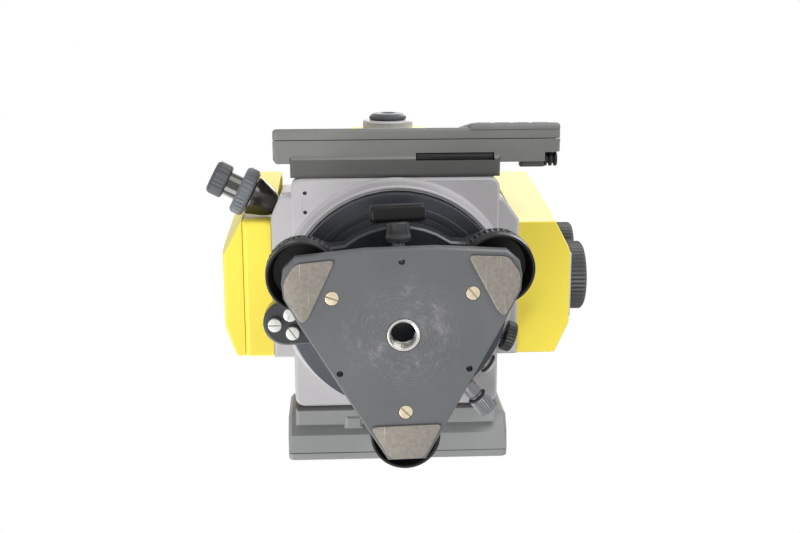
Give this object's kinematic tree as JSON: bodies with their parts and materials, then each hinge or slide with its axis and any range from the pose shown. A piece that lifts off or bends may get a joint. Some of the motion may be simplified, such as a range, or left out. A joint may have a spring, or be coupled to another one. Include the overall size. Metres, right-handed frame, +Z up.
{
  "type": "total station",
  "caption": "Surveying total station on a tribrach with foot screws, with a tilting telescope between two standards, side covers, two display panels and a carrying handle.",
  "frame": {"origin": "middle of the tripod thread, on the vertical axis, in the plane that the three pads of the base plate rest on", "axes": "+Z up along the vertical axis, -Y towards the wide front panel and the eyepiece, +X towards the side with the knobs"},
  "size_m": [0.2362, 0.2079, 0.343],
  "materials": {
    "casting": "satin light grey paint over a die casting",
    "cover_yellow": "satin yellow",
    "telescope_yellow": "satin yellow paint over a die casting",
    "panel_grey": "fine matte grey",
    "strip_grey": "matte light grey",
    "tribrach_grey": "worn dark grey paint over a die casting",
    "pad_metal": "ground bare metal",
    "brass": "dull nickelled brass",
    "steel": "turned",
    "black_paint": "satin black paint over turned metal",
    "black_plastic": "moulded black",
    "black_rubber": "matte",
    "knob_grey": "matte dark grey",
    "handle_grey": "grained dark grey",
    "key_rubber": "matte",
    "glass": "clear",
    "display": "clear over a grey-green display",
    "board": "lacquered green"
  },
  "bodies": {
    "base": {"base_plate": "tribrach_grey", "base_pad_1": "pad_metal", "base_pad_2": "pad_metal", "base_pad_3": "pad_metal", "tripod_thread_bush": "steel", "spring_plate": "steel", "plate_screw_1": "brass", "plate_screw_2": "brass", "plate_screw_3": "brass", "tribrach_body": "tribrach_grey", "level_screw_1": "steel", "level_screw_2": "steel", "level_screw_3": "steel", "level_cell": "black_paint", "level_glass": "glass", "base_disc": "black_paint", "axis_sleeve": "steel", "horizontal_circle": "glass"},
    "foot_screw_1": {"foot_screw_1": "black_plastic"},
    "foot_screw_2": {"foot_screw_2": "black_plastic"},
    "foot_screw_3": {"foot_screw_3": "black_plastic"},
    "lock_knob": {"tribrach_lock_knob": "black_plastic"},
    "alidade": {"alidade_body": "casting", "vertical_spindle": "steel", "front_case": "panel_grey", "front_lid": "panel_grey", "front_display_glass": "display", "front_keypad": "key_rubber", "rear_case": "panel_grey", "rear_lid": "panel_grey", "rear_display_glass": "display", "rear_keypad": "key_rubber", "left_cover": "cover_yellow", "right_cover": "cover_yellow", "knob_panel": "strip_grey", "side_plug": "casting", "plummet_tube": "casting", "carry_handle": "handle_grey", "main_board": "board"},
    "telescope": {"telescope_body": "telescope_yellow", "objective_barrel": "knob_grey", "objective_lens": "glass", "vertical_circle": "glass"},
    "focusing_ring": {"focusing_ring": "knob_grey"},
    "telescope_eyepiece": {"telescope_eyepiece": "black_plastic"},
    "vertical_tangent": {"vertical_tangent_knob": "knob_grey"},
    "vertical_clamp": {"vertical_clamp_knob": "knob_grey"},
    "horizontal_clamp": {"horizontal_clamp_knob": "knob_grey"},
    "horizontal_tangent": {"horizontal_tangent_knob": "knob_grey", "tangent_ring": "black_rubber"},
    "plummet_focus": {"plummet_focus_ring": "knob_grey"},
    "plummet_eyepiece": {"plummet_eyepiece": "black_plastic"},
    "front_power": {"front_power_key": "key_rubber"},
    "rear_power": {"rear_power_key": "key_rubber"},
    "slot_cover": {"card_slot_cover": "black_rubber"},
    "connector_cap": {"connector_cap": "black_rubber"},
    "battery": {"battery_pack": "cover_yellow"},
    "latch": {"battery_latch": "strip_grey"},
    "handle_screw_1": {"handle_screw_1": "steel"},
    "handle_screw_2": {"handle_screw_2": "steel"}
  },
  "joints": [
    {"name": "foot_screw_turn_1", "type": "hinge", "parent": "base", "child": "foot_screw_1", "pos_m": [-0.05338, -0.0291, 0], "axis": [0, 0, 1], "range_deg": [-1080, 1080]},
    {"name": "foot_screw_turn_2", "type": "hinge", "parent": "base", "child": "foot_screw_2", "pos_m": [0.0519, -0.03168, 0], "axis": [0, 0, 1], "range_deg": [-1080, 1080]},
    {"name": "foot_screw_turn_3", "type": "hinge", "parent": "base", "child": "foot_screw_3", "pos_m": [0.00149, 0.06078, 0], "axis": [0, 0, 1], "range_deg": [-1080, 1080]},
    {"name": "lock_knob_turn", "type": "hinge", "parent": "base", "child": "lock_knob", "pos_m": [0, 0, 0.037], "axis": [-0.0244, -0.9997, 0], "range_deg": [0, 180]},
    {"name": "alidade_turn", "type": "hinge", "parent": "base", "child": "alidade", "pos_m": [0, 0, 0], "axis": [0, 0, 1], "continuous": true},
    {"name": "telescope_tilt", "type": "hinge", "parent": "alidade", "child": "telescope", "pos_m": [0, 0, 0.205], "axis": [1, 0, 0], "continuous": true},
    {"name": "focusing_ring_turn", "type": "hinge", "parent": "telescope", "child": "focusing_ring", "pos_m": [0, -0.08, 0.205], "axis": [0, -1, 0], "range_deg": [-270, 270]},
    {"name": "eyepiece_turn", "type": "hinge", "parent": "telescope", "child": "telescope_eyepiece", "pos_m": [0, -0.08, 0.205], "axis": [0, -1, 0], "range_deg": [-180, 180]},
    {"name": "vertical_tangent_turn", "type": "hinge", "parent": "alidade", "child": "vertical_tangent", "pos_m": [0.11, 0.004, 0.14997], "axis": [1, 0, 0], "range_deg": [-1800, 1800]},
    {"name": "vertical_clamp_turn", "type": "hinge", "parent": "alidade", "child": "vertical_clamp", "pos_m": [0.11, -0.0084, 0.188], "axis": [1, 0, 0], "range_deg": [0, 120]},
    {"name": "horizontal_clamp_turn", "type": "hinge", "parent": "alidade", "child": "horizontal_clamp", "pos_m": [0, 0, 0.079], "axis": [0.9397, 0.342, 0], "range_deg": [0, 120]},
    {"name": "horizontal_tangent_turn", "type": "hinge", "parent": "alidade", "child": "horizontal_tangent", "pos_m": [0, 0, 0.079], "axis": [0.6157, 0.788, 0], "range_deg": [-1800, 1800]},
    {"name": "plummet_focus_turn", "type": "hinge", "parent": "alidade", "child": "plummet_focus", "pos_m": [-0.07, -0.0495, 0.112], "axis": [-0.891, -0.454, 0], "range_deg": [-150, 150]},
    {"name": "plummet_eyepiece_turn", "type": "hinge", "parent": "alidade", "child": "plummet_eyepiece", "pos_m": [-0.07, -0.0495, 0.112], "axis": [-0.891, -0.454, 0], "range_deg": [-180, 180]},
    {"name": "front_power_press", "type": "slide", "parent": "alidade", "child": "front_power", "axis": [0, 0.9903, -0.1392], "range_m": [0, 0.0012], "stiffness_N_per_m": 400},
    {"name": "rear_power_press", "type": "slide", "parent": "alidade", "child": "rear_power", "axis": [0, -0.9903, -0.1392], "range_m": [0, 0.0012], "stiffness_N_per_m": 400},
    {"name": "slot_cover_pull", "type": "slide", "parent": "alidade", "child": "slot_cover", "axis": [0, 0, -1], "range_m": [0, 0.006]},
    {"name": "connector_cap_pull", "type": "slide", "parent": "alidade", "child": "connector_cap", "axis": [1, 0, 0], "range_m": [0, 0.008]},
    {"name": "battery_pull", "type": "slide", "parent": "alidade", "child": "battery", "axis": [-1, 0, 0], "range_m": [0, 0.04]},
    {"name": "latch_slide", "type": "slide", "parent": "alidade", "child": "latch", "axis": [0, 0, 1], "range_m": [0, 0.004], "stiffness_N_per_m": 300},
    {"name": "handle_screw_turn_1", "type": "hinge", "parent": "alidade", "child": "handle_screw_1", "pos_m": [-0.064, 0, 0.262], "axis": [-1, 0, 0], "range_deg": [0, 1440]},
    {"name": "handle_screw_turn_2", "type": "hinge", "parent": "alidade", "child": "handle_screw_2", "pos_m": [0.064, 0, 0.262], "axis": [1, 0, 0], "range_deg": [0, 1440]}
  ]
}
